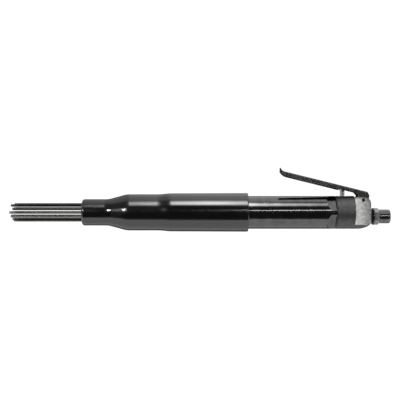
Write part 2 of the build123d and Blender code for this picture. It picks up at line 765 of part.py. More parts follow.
valve_spring_bottom_z = plug_top_z + seal_gap
valve_spring_top_z = -2 * seal_gap - throttle_valve_t
valve_spring_rise = valve_spring_top_z - valve_spring_bottom_z - valve_spring_wire
with BuildPart() as valve_spring:
    with BuildLine():
        coil = Helix(
            pitch=valve_spring_rise / valve_spring_turns,
            height=valve_spring_rise,
            radius=valve_spring_mean_r,
            center=(stem_x, 0, valve_spring_bottom_z + valve_spring_wire / 2),
        )
    with BuildSketch(Plane(origin=coil @ 0, z_dir=coil % 0)):
        Circle(valve_spring_wire / 2)
    sweep(is_frenet=True)
valve_spring.part.label = "valve_spring"
export_step(valve_spring.part, "parts/valve_spring.step")

with BuildPart() as valve_plug:
    with BuildSketch(Plane.XY.offset(plug_bottom_z)):
        with Locations((stem_x, 0)):
            Circle(plug_r - seat_clearance)
    extrude(amount=plug_top_z - plug_bottom_z)
    chamfer(valve_plug.edges().filter_by(GeomType.CIRCLE), plain_edge)
    with BuildSketch(Plane.XY.offset(plug_seal_z)):
        with Locations((stem_x, 0)):
            Circle(plug_r)
            Circle(plug_seal_groove_r, mode=Mode.SUBTRACT)
    extrude(amount=plug_seal_depth / 2 + seal_gap, both=True, mode=Mode.SUBTRACT)
    with BuildSketch(Plane.XY.offset(plug_bottom_z)):
        with Locations((stem_x, 0)):
            Rectangle(plug_slot_width, 2 * plug_r)
    extrude(amount=plug_slot_depth, mode=Mode.SUBTRACT)
valve_plug.part.label = "valve_plug"
export_step(valve_plug.part, "parts/valve_plug.step")

with BuildPart() as plug_seal:
    with BuildSketch(stem_plane):
        with Locations(((plug_r + plug_seal_groove_r) / 2, plug_seal_z)):
            Circle((plug_r - plug_seal_groove_r) / 2 - seal_gap)
    revolve(axis=stem_axis)
plug_seal.part.label = "plug_seal_ring"
export_step(plug_seal.part, "parts/plug_seal_ring.step")

# ---------------------------------------------------------------- throttle lever and its pin
up_lever = (-cos(slope), sin(slope))
bend = (lever_bend_x, web_z(lever_bend_x))
tip = (bend[0] - lever_curl_reach, bend[1] + lever_curl_rise)
under_tip = (tip[0], tip[1] - lever_tip_depth)
heel = (lever_heel_x, lever_heel_z)
inner_bend = (bend[0] - lever_sheet_t * sin(slope), bend[1] - lever_sheet_t * cos(slope))
inner_heel = (inner_bend[0] + 2 * lever_reach, inner_bend[1] - 2 * lever_reach * web_rise)
grip_x = lever_bend_x + lever_flange_start
neck_start_x = lever_notch_x + lever_notch_length
neck_end_x = pivot_x - lever_neck_end
lobe_start = (pivot_x - lever_lobe_r * sqrt(0.5), pivot_z + lever_lobe_r * sqrt(0.5))
lobe_end = (pivot_x + lever_lobe_r, pivot_z)
with BuildPart() as throttle_lever:
    # side outline: the web on top, curled up at the tip, and the flanges round the pivot
    with BuildSketch(Plane.XZ):
        with BuildLine():
            Line(heel, bend)
            TangentArc(bend, tip, tangent=up_lever)
            Line(tip, under_tip)
            curl = TangentArc((grip_x, web_z(grip_x) - lever_flange_depth), under_tip, tangent=up_lever)
            Polyline(
                (grip_x, web_z(grip_x) - lever_flange_depth),
                (lever_notch_x, web_z(lever_notch_x) - lever_flange_depth),
                (neck_start_x, web_z(neck_start_x) - lever_neck_depth),
                (neck_end_x, web_z(neck_end_x) - lever_neck_depth),
                lobe_start,
            )
            ThreePointArc(lobe_start, (pivot_x, pivot_z - lever_lobe_r), lobe_end)
            Polyline(lobe_end, (lobe_end[0] + lever_back_lean, heel[1] - lever_heel_drop), heel)
        make_face()
    extrude(amount=lever_width / 2, both=True)
    rims = throttle_lever.edges().filter_by(Axis.Y, reverse=True)
    fold = [e for e in rims if e.length > lever_sheet_t and e.center().Z > web_z(e.center().X) - plain_edge]
    fillet(fold, lever_sheet_t)
    # the hollow between the flanges
    with BuildSketch(Plane.XZ):
        with BuildLine():
            Line(inner_heel, inner_bend)
            TangentArc(inner_bend, under_tip, tangent=up_lever)
            Polyline(under_tip, (under_tip[0], 0), (inner_heel[0], 0), inner_heel)
        make_face()
    extrude(amount=lever_width / 2 - lever_sheet_t, both=True, mode=Mode.SUBTRACT)
    # the flanges' rolled lower edges
    bead_start = (neck_start_x, web_z(neck_start_x) - lever_flange_depth + lever_bead_inset)
    bead_path = [curl @ (lever_bead_share * step) for step in (0, 0.5, 1)]
    bead_curl = [(point.X, point.Y + lever_bead_inset) for point in bead_path]
    bead_y = lever_width / 2 + lever_bead_stand - lever_bead_r
    for side in (-bead_y, bead_y):
        with BuildLine(Plane.XZ.offset(side)):
            Line(bead_start, bead_curl[0])
            ThreePointArc(*bead_curl)
        bead_plane = Plane(origin=(bead_start[0], -side, bead_start[1]), z_dir=(up_lever[0], 0, up_lever[1]))
        with BuildSketch(bead_plane):
            Circle(lever_bead_r)
        sweep()
    with BuildSketch(Plane.XZ):
        with Locations((pivot_x, pivot_z)):
            Circle(pin_r + running_clearance)
    extrude(amount=lever_width, both=True, mode=Mode.SUBTRACT)
throttle_lever.part.label = "throttle_lever"
export_step(throttle_lever.part, "parts/throttle_lever.step")

# slit spring pin through both ears
with BuildPart() as lever_pin:
    with BuildSketch(Plane.XZ):
        with Locations((pivot_x, pivot_z)):
            Circle(pin_r)
            Circle(pin_bore_r, mode=Mode.SUBTRACT)
        with Locations((pivot_x, pivot_z - pin_r)):
            Rectangle(pin_slit_width, 2 * pin_r - pin_bore_r, mode=Mode.SUBTRACT)
    extrude(amount=housing_rear_half_width + pin_inset, both=True)
lever_pin.part.label = "lever_pin"
export_step(lever_pin.part, "parts/lever_pin.step")

# ---------------------------------------------------------------- air inlet
with BuildPart() as inlet_bushing:
    with BuildSketch(inlet_section(housing_rear_x)):
        Circle(inlet_thread_r)
    extrude(amount=-inlet_thread_length)
    chamfer(inlet_bushing.edges().filter_by(GeomType.CIRCLE).group_by(Axis.X)[0], heavy_edge)
    with BuildSketch(inlet_section(housing_rear_x)):
        Circle(inlet_neck_r)
    extrude(amount=inlet_neck_length)
    with BuildSketch(inlet_section(collar_x)):
        Circle(inlet_corner_r)
    extrude(amount=inlet_collar_t)
    with BuildSketch(inlet_section(hex_x)):
        RegularPolygon(inlet_hex_width / 2, 6, major_radius=False, rotation=30)
    extrude(amount=inlet_hex_t)
    # turned outline of the collar, and the cone behind the hexagon
    with BuildSketch(Plane.XZ):
        with BuildLine():
            Polyline(
                (housing_rear_x - inlet_thread_length, inlet_z),
                (housing_rear_x - inlet_thread_length, inlet_z + inlet_hex_width),
                (collar_x, inlet_z + inlet_hex_width),
                (collar_x, inlet_z + inlet_corner_r - plain_edge),
                (collar_x + plain_edge, inlet_z + inlet_corner_r),
                (inlet_barrel_x - inlet_hex_trail, inlet_z + inlet_corner_r),
                (inlet_barrel_x, inlet_z + inlet_barrel_r),
                (inlet_end_x, inlet_z + inlet_barrel_r),
                (inlet_end_x, inlet_z),
                close=True,
            )
        make_face()
    revolve(axis=Axis((0, 0, inlet_z), (1, 0, 0)), mode=Mode.INTERSECT)
    with BuildSketch(inlet_section(inlet_barrel_x)):
        Circle(inlet_barrel_r)
    extrude(amount=inlet_barrel_length)
    end_edges = inlet_bushing.edges().filter_by(GeomType.CIRCLE).group_by(Axis.X)[-1]
    fillet(end_edges, inlet_edge_round)
    with BuildSketch(inlet_section(inlet_end_x)):
        Circle(inlet_female_r)
    extrude(amount=-inlet_female_depth, mode=Mode.SUBTRACT)
    with BuildSketch(inlet_section(inlet_end_x)):
        Circle(inlet_bore_r)
    extrude(
        amount=housing_rear_x - inlet_thread_length - inlet_end_x, mode=Mode.SUBTRACT
    )
inlet_bushing.part.label = "inlet_bushing"
export_step(inlet_bushing.part, "parts/inlet_bushing.step")

with BuildPart() as inlet_seal:
    with BuildSketch(Plane.XZ):
        with Locations((
            housing_rear_x + inlet_neck_length / 2,
            inlet_z + inlet_neck_r + seal_gap + inlet_seal_wire_r,
        )):
            Circle(inlet_seal_wire_r)
    revolve(axis=Axis((0, 0, inlet_z), (1, 0, 0)))
inlet_seal.part.label = "inlet_seal_ring"
export_step(inlet_seal.part, "parts/inlet_seal_ring.step")

# thimble strainer, its mouth towards the hose
screen_end_x = inlet_end_x - inlet_female_depth - seal_gap
with BuildPart() as inlet_screen:
    with BuildSketch(inlet_section(screen_end_x)):
        Circle(inlet_bore_r - seat_clearance)
    extrude(amount=-screen_length)
    with BuildSketch(inlet_section(screen_end_x)):
        Circle(inlet_bore_r - seat_clearance - screen_wall)
    extrude(amount=screen_wall - screen_length, mode=Mode.SUBTRACT)
    with BuildSketch(inlet_section(screen_end_x)):
        with GridLocations(3 * screen_hole_r, 3 * screen_hole_r, 3, 3):
            Circle(screen_hole_r)
    extrude(amount=-screen_length, mode=Mode.SUBTRACT)
inlet_screen.part.label = "inlet_screen"
export_step(inlet_screen.part, "parts/inlet_screen.step")
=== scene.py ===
import json
from math import pi, radians

import bpy
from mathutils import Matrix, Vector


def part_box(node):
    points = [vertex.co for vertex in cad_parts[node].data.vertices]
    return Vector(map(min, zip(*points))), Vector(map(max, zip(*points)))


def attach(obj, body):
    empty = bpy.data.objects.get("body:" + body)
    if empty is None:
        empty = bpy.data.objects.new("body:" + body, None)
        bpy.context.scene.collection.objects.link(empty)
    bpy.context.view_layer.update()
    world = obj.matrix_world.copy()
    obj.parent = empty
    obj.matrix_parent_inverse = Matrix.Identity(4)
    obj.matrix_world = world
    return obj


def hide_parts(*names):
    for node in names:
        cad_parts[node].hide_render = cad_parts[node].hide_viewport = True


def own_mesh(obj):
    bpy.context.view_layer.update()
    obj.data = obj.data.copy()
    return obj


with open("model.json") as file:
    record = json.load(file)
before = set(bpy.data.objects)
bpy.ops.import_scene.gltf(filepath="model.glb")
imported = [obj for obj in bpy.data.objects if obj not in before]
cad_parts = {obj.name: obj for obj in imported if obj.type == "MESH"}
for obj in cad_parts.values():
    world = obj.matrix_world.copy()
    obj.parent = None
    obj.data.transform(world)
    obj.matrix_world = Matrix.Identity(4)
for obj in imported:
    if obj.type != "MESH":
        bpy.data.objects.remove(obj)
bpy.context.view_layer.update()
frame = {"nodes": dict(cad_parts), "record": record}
MM = 0.001

TUBE_LOW, TUBE_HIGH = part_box("front_tube")
HOUSING_LOW, HOUSING_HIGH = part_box("throttle_housing")
INLET_LOW, INLET_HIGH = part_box("inlet_bushing")
BARREL_R = -HOUSING_LOW[2]  # the housing's turned front is as thick as the barrel
INLET_Z = (INLET_LOW[2] + INLET_HIGH[2]) / 2


# ------------------------------------------------------------------ sizes of the studio
CAMERA_X, CAMERA_Z = -0.1018, 0.01445
CAMERA_DISTANCE = 1.006
FRAME_WIDTH = 0.468         # across the picture, at the tool's axis
SENSOR = 36.0

FLOOR_DROP = 0.16           # below the tool's axis
FLOOR_FRONT = 0.16          # the floor's front edge, 45 degrees down from the axis
FLOOR_BACK = 0.12
FLOOR_SIDE = 3.0
FLOOR_GLOW = 0.32
BACKDROP_GLOW = 1.05        # behind the tool, as the camera sees it

# A place in the studio is given by its direction from the tool. Round: degrees about the
# tool's axis, up from the front. Along: from -1, past the needles, to 1, past the inlet.

# Brightness round the axis: dark behind, pale floor, dark front, and the pale ceiling
# behind the softbox.
STUDIO_BANDS = (
    (-180, 0.1), (-150, 0.12), (-132, 0.3), (-120, 0.8), (-60, 0.8), (-50, 0.7),
    (-43, 0.12), (-34, 0.06), (26, 0.055), (44, 0.12), (66, 0.25), (74, 0.4),
    (83, 1.3), (94, 1.55), (128, 1.5), (146, 0.8), (165, 0.25), (180, 0.12),
)
BRIGHTEST_BAND = 2.0
CEILING_FADE = 0.5          # how much the ceiling darkens towards the needles
CEILING_ROUND = (60, 75)    # where that begins and is full, round
CEILING_ALONG = (-0.15, 0.0)  # and along, from full to none
END_LIGHT = 0.55            # the even light past the tool's two ends
END_ALONG = (0.55, 0.85)    # where the bands fade into it, at either end

# The softbox above the front, and how it falls off along the tool
SOFTBOX_POWER = 13.5
SOFTBOX_BANDS = ((41, 0.0), (47, 0.4), (51, 1.0), (64, 1.0), (69, 0.5), (76, 0.12), (82, 0.0))
SOFTBOX_ALONG = (
    (-0.088, 0.0), (-0.07, 0.7), (-0.055, 0.75), (-0.046, 0.35), (-0.03, 0.45), (0.0, 1.0),
    (0.045, 1.0), (0.06, 0.46), (0.13, 0.24), (0.2, 0.08), (0.3, 0.07),
)
# Beside the bare barrel its upper edge comes lower
SOFTBOX_LOW_EDGE = (61, 70)
SOFTBOX_LOW_ALONG = (0.045, 0.065)

# A narrow strip lamp beside the barrel: its middle and half its width, round
STRIP_POWER = 13.0
STRIP_ROUND = (13.2, 1.6)
STRIP_FROM = 0.06           # along
# A small lamp that only the cone of the front tube catches: the same, round and along
SPOT_POWER = 70.0
SPOT_ROUND = (19.0, 3.2)
SPOT_ALONG = (-0.43, 0.07)


# ------------------------------------------------------------------ sizes of the finishes
RINGS = (1, 0.01, 0.01)     # squeezes noise into rings round the tool's axis
MOUTH_WEAR = (0.6 * MM, 2.4 * MM)       # in from the front tube's mouth: bare, and painted again
REAR_WEAR = (1.6 * MM, 0.3 * MM)        # in from its rear edge: painted, and rubbed
TIP_RUB = (1 * MM, 9 * MM)              # in from the needles' tips: rubbed, and as drawn
HOUSING_STEP = 30.2 * MM                # from the front of the housing's spigot to its cast flats
TURNING_ALLOWANCE = 0.06 * MM           # skin this much inside the barrel's radius still counts as turned
INLET_SHADE_FROM = 30 * MM                      # from the front of the spigot to where the painted shade towards the inlet begins
LEVER_SHADE = (4.4 * MM, 1.6 * MM)            # down from the housing's top: where the painted shade under the lever begins and is full
HEXAGON_IN = 18.8 * MM                  # from the inlet's open end to the front of its hexagon
CYLINDER_IN = 13.0 * MM                 # and to the front of its turned cylinder
FINISH_EDGE = 0.15 * MM                 # how soon one finish of the inlet gives way to the next
THREAD_PITCH = 1.41 * MM
THREAD_IN = 12.0 * MM                   # from the open end to where the thread stops
THREAD_R = 6.2 * MM                     # within this of the inlet's axis, only the threaded wall
THREAD_RELIEF = 1.0 * MM


# ------------------------------------------------------------------ sizes of the springs
HOLDER_SPRING_WIRE, HOLDER_SPRING_TURNS = 2.6 * MM, 5.0
VALVE_SPRING_WIRE, VALVE_SPRING_TURNS = 0.8 * MM, 4.0
END_COIL = 0.575            # of a wire, from a spring's end to its wire's centre; the coil slants
WIRE_SIDES = 14
STEPS_PER_TURN = 48
WELD = 0.001 * MM           # points closer than this are one
SMOOTH_UNDER = 50           # degrees between faces that are shaded as one surface


# ------------------------------------------------------------------ shading nodes
def math_node(tree, operation, *values):
    """A Math node; each value is a number or another node's socket. Returns its socket."""
    node = tree.nodes.new("ShaderNodeMath")
    node.operation = operation
    for socket, value in zip(node.inputs, values):
        if isinstance(value, (int, float)):
            socket.default_value = value
        else:
            tree.links.new(value, socket)
    return node.outputs[0]


def ramp_node(tree, value, stops):
    """A Color Ramp of greys or colours over (place, shade) stops. Returns its colour socket."""
    node = tree.nodes.new("ShaderNodeValToRGB")
    ramp = node.color_ramp
    while len(ramp.elements) < len(stops):
        ramp.elements.new(0.5)
    for element, (place, shade) in zip(ramp.elements, sorted(stops)):
        element.position = place
        element.color = (shade, shade, shade, 1) if isinstance(shade, (int, float)) else (*shade, 1)
    tree.links.new(value, node.inputs[0])
    return node.outputs[0]


def spread(tree, value, low, high, to_low=0.0, to_high=1.0):
    """value from low..high onto to_low..to_high, held at the ends."""
    node = tree.nodes.new("ShaderNodeMapRange")
    node.clamp = True
    for socket, number in zip(("From Min", "From Max", "To Min", "To Max"), (low, high, to_low, to_high)):
        node.inputs[socket].default_value = number
    tree.links.new(value, node.inputs["Value"])
    return node.outputs[0]


def spread_round(tree, turn, edges, to_low, to_high):
    """The same for a direction round the axis, with its two edges in degrees."""
    low, high = map(radians, edges)
    return spread(tree, turn, low, high, to_low, to_high)


def band_round(tree, turn, band):
    """1 inside a band round the axis, given by its middle and half its width in degrees."""
    middle, half = map(radians, band)
    return math_node(tree, "COMPARE", turn, middle, half)


def split_axes(tree, place):
    node = tree.nodes.new("ShaderNodeSeparateXYZ")
    tree.links.new(place, node.inputs[0])
    return node.outputs


def distance(tree, one, other):
    """How far a point is from an axis, from its two places across it."""
    square = math_node(tree, "MULTIPLY", other, other)
    return math_node(tree, "SQRT", math_node(tree, "MULTIPLY_ADD", one, one, square))


# ------------------------------------------------------------------ studio
def place_camera():
    """Square on to the tool's side, level with the foot of the lever."""
    data = bpy.data.cameras.new("side_camera")
    camera = bpy.data.objects.new("side_camera", data)
    bpy.context.scene.collection.objects.link(camera)
    camera.location = (CAMERA_X, -CAMERA_DISTANCE, CAMERA_Z)
    camera.rotation_euler = (pi / 2, 0, 0)
    data.sensor_width = SENSOR
    data.lens = SENSOR * CAMERA_DISTANCE / FRAME_WIDTH
    data.clip_start = 0.01
    bpy.context.scene.camera = camera


def round_stops(bands, peak=1.0):
    """Ramp stops for (degrees, brightness) bands; the ramp runs from -180 to 180 degrees."""
    return [((degrees + 180) / 360, brightness / peak) for degrees, brightness in bands]


def band_light(tree, turn, share, along):
    """Walls, floor and ceiling in bands round the tool; the ceiling darkens towards the needles."""
    bands = ramp_node(tree, share, round_stops(STUDIO_BANDS, BRIGHTEST_BAND))
    bands = math_node(tree, "MULTIPLY", bands, BRIGHTEST_BAND)
    overhead = spread_round(tree, turn, CEILING_ROUND, 0.0, 1.0)
    needle_end = spread(tree, along, *CEILING_ALONG, CEILING_FADE, 0.0)
    kept = math_node(tree, "SUBTRACT", 1.0, math_node(tree, "MULTIPLY", overhead, needle_end))
    return math_node(tree, "MULTIPLY", bands, kept)


def softbox_light(tree, turn, share, along):
    """The softbox, brightest over the middle of the tool."""
    glow = ramp_node(tree, share, round_stops(SOFTBOX_BANDS))
    low_edge = spread_round(tree, turn, SOFTBOX_LOW_EDGE, 1.0, 0.0)
    before_barrel = spread(tree, along, *SOFTBOX_LOW_ALONG, 1.0, 0.0)
    glow = math_node(tree, "MULTIPLY", glow, math_node(tree, "MAXIMUM", low_edge, before_barrel))
    place = math_node(tree, "MULTIPLY_ADD", along, 0.5, 0.5)
    reach = ramp_node(tree, place, [(a / 2 + 0.5, brightness) for a, brightness in SOFTBOX_ALONG])
    return math_node(tree, "MULTIPLY", math_node(tree, "MULTIPLY", glow, reach), SOFTBOX_POWER)


def lamp_light(tree, turn, along):
    """The strip lamp beside the barrel and the small lamp for the cone."""
    strip = band_round(tree, turn, STRIP_ROUND)
    beside = math_node(tree, "GREATER_THAN", along, STRIP_FROM)
    strip = math_node(tree, "MULTIPLY", math_node(tree, "MULTIPLY", strip, beside), STRIP_POWER)
    spot = band_round(tree, turn, SPOT_ROUND)
    spot = math_node(tree, "MULTIPLY", spot, math_node(tree, "COMPARE", along, *SPOT_ALONG))
    return math_node(tree, "MULTIPLY_ADD", spot, SPOT_POWER, strip)


def light_studio():
    """A studio that is banded round the tool's axis, as its long gloss surfaces show it."""
    world = bpy.data.worlds.new("pale_studio")
    bpy.context.scene.world = world
    world.use_nodes = True
    tree = world.node_tree
    tree.nodes.clear()
    place = tree.nodes.new("ShaderNodeTexCoord")
    along, across, up = split_axes(tree, place.outputs["Generated"])
    turn = math_node(tree, "ARCTAN2", up, math_node(tree, "MULTIPLY", across, -1.0))
    share = math_node(tree, "MULTIPLY_ADD", turn, 1 / (2 * pi), 0.5)
    lamps = math_node(tree, "ADD", softbox_light(tree, turn, share, along), lamp_light(tree, turn, along))
    banded = math_node(tree, "ADD", band_light(tree, turn, share, along), lamps)
    fade_from, fade_to = END_ALONG
    fade = ramp_node(tree, math_node(tree, "ABSOLUTE", along), [(fade_from, 0.0), (fade_to, 1.0)])
    blend = tree.nodes.new("ShaderNodeMix")
    tree.links.new(fade, blend.inputs["Factor"])
    tree.links.new(banded, blend.inputs[2])
    blend.inputs[3].default_value = END_LIGHT
    studio = tree.nodes.new("ShaderNodeBackground")
    studio.inputs["Color"].default_value = (1, 1, 1, 1)
    tree.links.new(blend.outputs[0], studio.inputs["Strength"])
    backdrop = tree.nodes.new("ShaderNodeBackground")
    backdrop.inputs["Color"].default_value = (1, 1, 1, 1)
    backdrop.inputs["Strength"].default_value = BACKDROP_GLOW
    seen = tree.nodes.new("ShaderNodeLightPath")
    choose = tree.nodes.new("ShaderNodeMixShader")
    tree.links.new(seen.outputs["Is Camera Ray"], choose.inputs[0])
    tree.links.new(studio.outputs[0], choose.inputs[1])
    tree.links.new(backdrop.outputs[0], choose.inputs[2])
    output = tree.nodes.new("ShaderNodeOutputWorld")
    tree.links.new(choose.outputs[0], output.inputs[0])


def lay_floor():
    """A pale floor under the tool; it ends in front and behind, where the studio is dark."""
    bpy.ops.object.select_all(action="DESELECT")
    middle = (FLOOR_BACK - FLOOR_FRONT) / 2
    bpy.ops.mesh.primitive_plane_add(size=1, location=(0, middle, -FLOOR_DROP))
    floor = bpy.context.object
    floor.name = "studio_floor"
    floor.scale = (2 * FLOOR_SIDE, FLOOR_BACK + FLOOR_FRONT, 1)
    material = bpy.data.materials.new("pale_floor")
    material.use_nodes = True
    shader = material.node_tree.nodes["Principled BSDF"]
    shader.inputs["Base Color"].default_value = (0.9, 0.9, 0.9, 1)
    shader.inputs["Roughness"].default_value = 0.8
    shader.inputs["Emission Color"].default_value = (1, 1, 1, 1)
    shader.inputs["Emission Strength"].default_value = FLOOR_GLOW
    floor.data.materials.append(material)


# ------------------------------------------------------------------ finishes
def start_finish(name, colour, metallic, roughness):
    """A new material. Returns it, its node tree, its shader and its object-coordinates socket."""
    material = bpy.data.materials.new(name)
    material.use_nodes = True
    tree = material.node_tree
    shader = tree.nodes["Principled BSDF"]
    shader.inputs["Base Color"].default_value = (*colour, 1)
    shader.inputs["Metallic"].default_value = metallic
    shader.inputs["Roughness"].default_value = roughness
    place = tree.nodes.new("ShaderNodeTexCoord").outputs["Object"]
    return material, tree, shader, place


def stretched(tree, place, scale):
    """Object coordinates scaled along each axis; a small scale draws a pattern out."""
    node = tree.nodes.new("ShaderNodeMapping")
    node.inputs["Scale"].default_value = scale
    tree.links.new(place, node.inputs["Vector"])
    return node.outputs[0]


def grain(tree, place, size, detail=3.0, rough=0.5):
    """Noise with features of about size, in metres. Returns its value socket."""
    node = tree.nodes.new("ShaderNodeTexNoise")
    node.inputs["Scale"].default_value = 1 / size
    node.inputs["Detail"].default_value = detail
    node.inputs["Roughness"].default_value = rough
    tree.links.new(place, node.inputs["Vector"])
    return node.outputs["Fac"]


def roughen(tree, shader, value, low, high):
    """Roughness that follows value, from low to high."""
    tree.links.new(spread(tree, value, 0.3, 0.7, low, high), shader.inputs["Roughness"])


def tint(tree, shader, value, dark, light, low=0.3, high=0.7):
    """Base colour that follows value, from dark to light."""
    tree.links.new(ramp_node(tree, value, [(low, dark), (high, light)]), shader.inputs["Base Color"])


def emboss(tree, shader, *layers):
    """Bump from (height socket, depth in metres) layers, the coarsest first."""
    normal = None
    for height, depth in layers:
        node = tree.nodes.new("ShaderNodeBump")
        node.inputs["Distance"].default_value = depth
        tree.links.new(height, node.inputs["Height"])
        if normal:
            tree.links.new(normal, node.inputs["Normal"])
        normal = node.outputs[0]
    tree.links.new(normal, shader.inputs["Normal"])


def front_tube_finish():
    """Gloss black: slight orange peel, faint lengthwise polishing, and a rubbed mouth."""
    material, tree, shader, place = start_finish("gloss_black_tube", (0.07, 0.07, 0.071), 1.0, 0.12)
    peel = grain(tree, place, 1.6 * MM, 2)
    smudge = grain(tree, stretched(tree, place, (0.35, 1, 1)), 14 * MM, 4)
    scratch = grain(tree, stretched(tree, place, (0.02, 1, 1)), 0.35 * MM, 2)
    along = split_axes(tree, place)[0]
    bare, painted = (TUBE_LOW[0] + inset for inset in MOUTH_WEAR)
    near_mouth = spread(tree, along, bare, painted, 1, 0)
    painted, rubbed = (TUBE_HIGH[0] - inset for inset in REAR_WEAR)
    near_rear = spread(tree, along, painted, rubbed, 0, 0.3)
    rim = math_node(tree, "MAXIMUM", near_mouth, near_rear)
    worn = math_node(tree, "MULTIPLY", rim, spread(tree, grain(tree, place, 1.1 * MM, 5), 0.45, 0.6))
    tint(tree, shader, worn, (0.072, 0.072, 0.073), (0.42, 0.41, 0.40), 0.2, 0.8)
    roughness = spread(tree, smudge, 0.35, 0.7, 0.10, 0.17)
    roughness = math_node(tree, "MULTIPLY_ADD", scratch, 0.05, roughness)
    roughness = math_node(tree, "MULTIPLY_ADD", worn, 0.25, roughness)
    tree.links.new(roughness, shader.inputs["Roughness"])
    emboss(tree, shader, (peel, 0.012 * MM), (scratch, 0.004 * MM))
    return material


def barrel_finish():
    """Blackened and ground: rings round the barrel, with handling marks."""
    material, tree, shader, place = start_finish("satin_black_barrel", (0.09, 0.09, 0.092), 1.0, 0.2)
    rings = grain(tree, stretched(tree, place, RINGS), 0.5 * MM, 4, 0.7)
    marks = grain(tree, place, 9 * MM, 5)
    nicks = grain(tree, stretched(tree, place, (0.12, 1, 1)), 0.8 * MM, 3)
    tint(tree, shader, marks, (0.078, 0.078, 0.08), (0.112, 0.111, 0.11))
    roughen(tree, shader, marks, 0.09, 0.14)
    emboss(tree, shader, (spread(tree, nicks, 0.62, 0.75), 0.02 * MM), (rings, 0.005 * MM))
    return material


def needle_finish():
    """Drawn wire, oiled and heat-browned by work: each needle has its own tone."""
    material, tree, shader, place = start_finish("drawn_needle_wire", (0.2, 0.2, 0.2), 1.0, 0.35)
    own = grain(tree, stretched(tree, place, (0.004, 1, 1)), 3.4 * MM, 0)
    scale = grain(tree, stretched(tree, place, (0.05, 1, 1)), 1.5 * MM, 5, 0.65)
    drawn = grain(tree, stretched(tree, place, (0.008, 1, 1)), 0.12 * MM, 2)
    tone = math_node(tree, "MULTIPLY_ADD", own, 0.7, math_node(tree, "MULTIPLY", scale, 0.42))
    along = split_axes(tree, place)[0]
    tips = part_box("needle_01")[0][0]
    bright, as_drawn = (tips + inset for inset in TIP_RUB)
    tone = math_node(tree, "ADD", tone, spread(tree, along, bright, as_drawn, 0.14, 0))
    tint(tree, shader, tone, (0.015, 0.015, 0.016), (0.21, 0.208, 0.2), 0.4, 0.78)
    roughen(tree, shader, scale, 0.26, 0.5)
    emboss(tree, shader, (scale, 0.03 * MM), (drawn, 0.012 * MM))
    return material


def turned_finish(name, colour, roughness, axis=0):
    """Machined metal: fine rings round axis, and patches that are a little duller and darker."""
    material, tree, shader, place = start_finish(name, colour, 1.0, roughness)
    squeeze = [0.02, 0.02, 0.02]
    squeeze[axis] = 1.0
    rings = grain(tree, stretched(tree, place, squeeze), 0.35 * MM, 3, 0.7)
    patches = grain(tree, place, 4 * MM, 4)
    tint(tree, shader, patches, [c * 0.75 for c in colour], colour)
    roughen(tree, shader, patches, 0.8 * roughness, 1.25 * roughness)
    emboss(tree, shader, (rings, 0.006 * MM))
    return material


def rubber_finish(name, colour):
    """Moulded rubber: fine even pits and a dull bloom."""
    material, tree, shader, place = start_finish(name, colour, 0.0, 0.45)
    pits = grain(tree, place, 0.25 * MM, 3)
    bloom = grain(tree, place, 3 * MM, 4)
    tint(tree, shader, bloom, colour, [c * 1.5 + 0.004 for c in colour])
    roughen(tree, shader, bloom, 0.32, 0.55)
    emboss(tree, shader, (pits, 0.01 * MM))
    return material


def housing_finish():
    """Satin turned front; from the step back, sand-cast flats with a light rough skin, and painted shade
    towards the inlet and under the lever.
    """
    material, tree, shader, place = start_finish("turned_and_cast_housing", (0.2, 0.2, 0.2), 1.0, 0.4)
    along, across, up = split_axes(tree, place)
    behind = math_node(tree, "GREATER_THAN", along, HOUSING_LOW[0] + HOUSING_STEP)
    on_radius = math_node(tree, "GREATER_THAN", distance(tree, across, up), BARREL_R - TURNING_ALLOWANCE)
    turned = math_node(tree, "MULTIPLY", on_radius, math_node(tree, "LESS_THAN", up, 0.0))
    cast = math_node(tree, "MULTIPLY", behind, math_node(tree, "SUBTRACT", 1.0, turned))
    sand = grain(tree, place, 0.55 * MM, 4, 0.6)
    coarse = grain(tree, place, 3.2 * MM, 4)
    rings = grain(tree, stretched(tree, place, RINGS), 0.4 * MM, 3, 0.7)
    skin = math_node(tree, "MULTIPLY_ADD", sand, 0.35, math_node(tree, "MULTIPLY", coarse, 0.65))
    # painted shade: the casting darkens towards the inlet
    painted_inlet_shade = spread(tree, along, HOUSING_LOW[0] + INLET_SHADE_FROM, HOUSING_HIGH[0], -0.14, 0.46)
    # and painted shade under the lever, on the housing's top
    shade_from, shade_full = (HOUSING_HIGH[2] - drop for drop in LEVER_SHADE)
    painted_lever_shade = spread(tree, up, shade_from, shade_full, 0.0, 0.5)
    # the casting's tone: its skin, less the painted shade towards the inlet and under the lever
    tone = math_node(tree, "SUBTRACT", math_node(tree, "SUBTRACT", skin, painted_inlet_shade), painted_lever_shade)
    cast_colour = ramp_node(tree, tone, [
        (0.0, (0.16, 0.16, 0.158)), (0.3, (0.42, 0.42, 0.415)), (0.74, (0.84, 0.835, 0.82))])
    turned_colour = ramp_node(tree, coarse, [(0.35, (0.075, 0.075, 0.075)), (0.7, (0.102, 0.101, 0.1))])
    mix = tree.nodes.new("ShaderNodeMix")
    mix.data_type = "RGBA"
    tree.links.new(cast, mix.inputs[0])
    tree.links.new(turned_colour, mix.inputs[6])
    tree.links.new(cast_colour, mix.inputs[7])
    tree.links.new(mix.outputs[2], shader.inputs["Base Color"])
    tree.links.new(spread(tree, cast, 0, 1, 0.5, 0.62), shader.inputs["Roughness"])
    tree.links.new(spread(tree, cast, 0, 1, 1.0, 0.3), shader.inputs["Metallic"])
    height = math_node(tree, "MULTIPLY", cast, math_node(tree, "MULTIPLY_ADD", coarse, 1.4, sand))
    emboss(tree, shader, (height, 0.13 * MM), (rings, 0.004 * MM))
    return material


